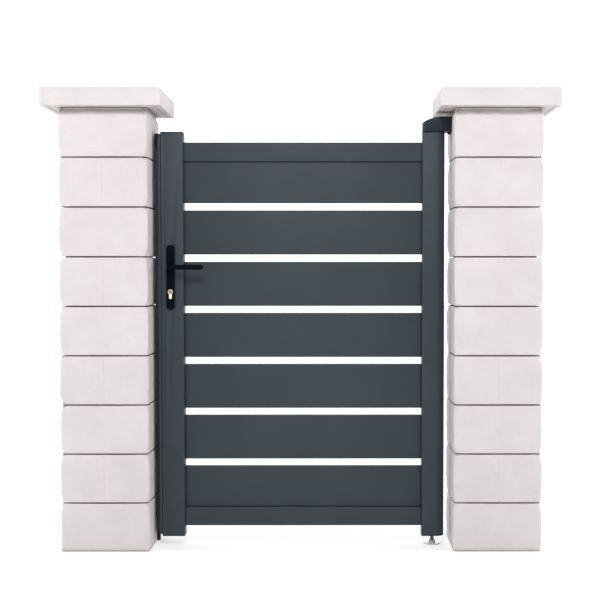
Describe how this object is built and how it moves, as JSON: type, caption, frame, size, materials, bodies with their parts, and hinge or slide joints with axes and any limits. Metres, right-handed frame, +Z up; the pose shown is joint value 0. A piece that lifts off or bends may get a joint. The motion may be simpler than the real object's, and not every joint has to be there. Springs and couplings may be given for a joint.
{
  "type": "pedestrian gate with stone pillars",
  "caption": "Pedestrian gate: an anthracite aluminium leaf with wide horizontal slats and a lever lock, hung between two pale stone pillars with flat slab caps.",
  "frame": {"origin": "on the ground, half way between the pillars and at the middle of their depth", "axes": "+X from the latch pillar to the hinge pillar, +Y away from the street side, +Z up"},
  "size_m": [1.73, 0.4, 1.56],
  "materials": {
    "pale_stone": "matt split-faced cast stone",
    "anthracite_powder_coat": "satin powder coat, anthracite grey",
    "black_plastic": "satin moulded",
    "black_handle_metal": "satin black coat",
    "zinc_plated_steel": "bright zinc plate",
    "cylinder_brass": "satin nickel over brass"
  },
  "bodies": {
    "posts": {"left_pillar_block_1": "pale_stone", "left_pillar_block_2": "pale_stone", "left_pillar_block_3": "pale_stone", "left_pillar_block_4": "pale_stone", "left_pillar_block_5": "pale_stone", "left_pillar_block_6": "pale_stone", "left_pillar_block_7": "pale_stone", "left_pillar_block_8": "pale_stone", "left_pillar_block_9": "pale_stone", "right_pillar_block_1": "pale_stone", "right_pillar_block_2": "pale_stone", "right_pillar_block_3": "pale_stone", "right_pillar_block_4": "pale_stone", "right_pillar_block_5": "pale_stone", "right_pillar_block_6": "pale_stone", "right_pillar_block_7": "pale_stone", "right_pillar_block_8": "pale_stone", "right_pillar_block_9": "pale_stone", "left_pillar_cap": "pale_stone", "right_pillar_cap": "pale_stone", "strike_jamb": "anthracite_powder_coat", "strike_jamb_cap": "black_plastic", "strike_jamb_foot": "black_plastic", "top_hinge_hood": "black_plastic", "top_hinge_bracket": "zinc_plated_steel", "floor_pivot_plate": "zinc_plated_steel", "floor_pivot_pin": "zinc_plated_steel", "floor_pivot_nut": "zinc_plated_steel"},
    "leaf": {"latch_stile": "anthracite_powder_coat", "hinge_stile": "anthracite_powder_coat", "top_rail": "anthracite_powder_coat", "bottom_rail": "anthracite_powder_coat", "slat_1": "anthracite_powder_coat", "slat_2": "anthracite_powder_coat", "slat_3": "anthracite_powder_coat", "slat_4": "anthracite_powder_coat", "slat_5": "anthracite_powder_coat", "slat_6": "anthracite_powder_coat", "slat_7": "anthracite_powder_coat", "latch_stile_top_plug": "black_plastic", "latch_stile_bottom_plug": "black_plastic", "hinge_stile_top_bush": "black_plastic", "hinge_stile_bottom_bush": "black_plastic", "front_handle_plate": "black_handle_metal", "back_handle_plate": "black_handle_metal", "lock_cylinder": "cylinder_brass", "lock_forend": "zinc_plated_steel"},
    "lever": {"front_lever": "black_handle_metal", "back_lever": "black_handle_metal", "lever_spindle": "zinc_plated_steel"}
  },
  "joints": [
    {"name": "leaf_swing", "type": "hinge", "parent": "posts", "child": "leaf", "pos_m": [0.453, 0, 0], "axis": [0, 0, 1], "range_deg": [0, 90]},
    {"name": "lever_turn", "type": "hinge", "parent": "leaf", "child": "lever", "pos_m": [-0.4535, 0, 0.965], "axis": [0, 1, 0], "range_deg": [0, 45], "stiffness_Nm_per_rad": 1.5, "springref_deg": -17.19}
  ]
}
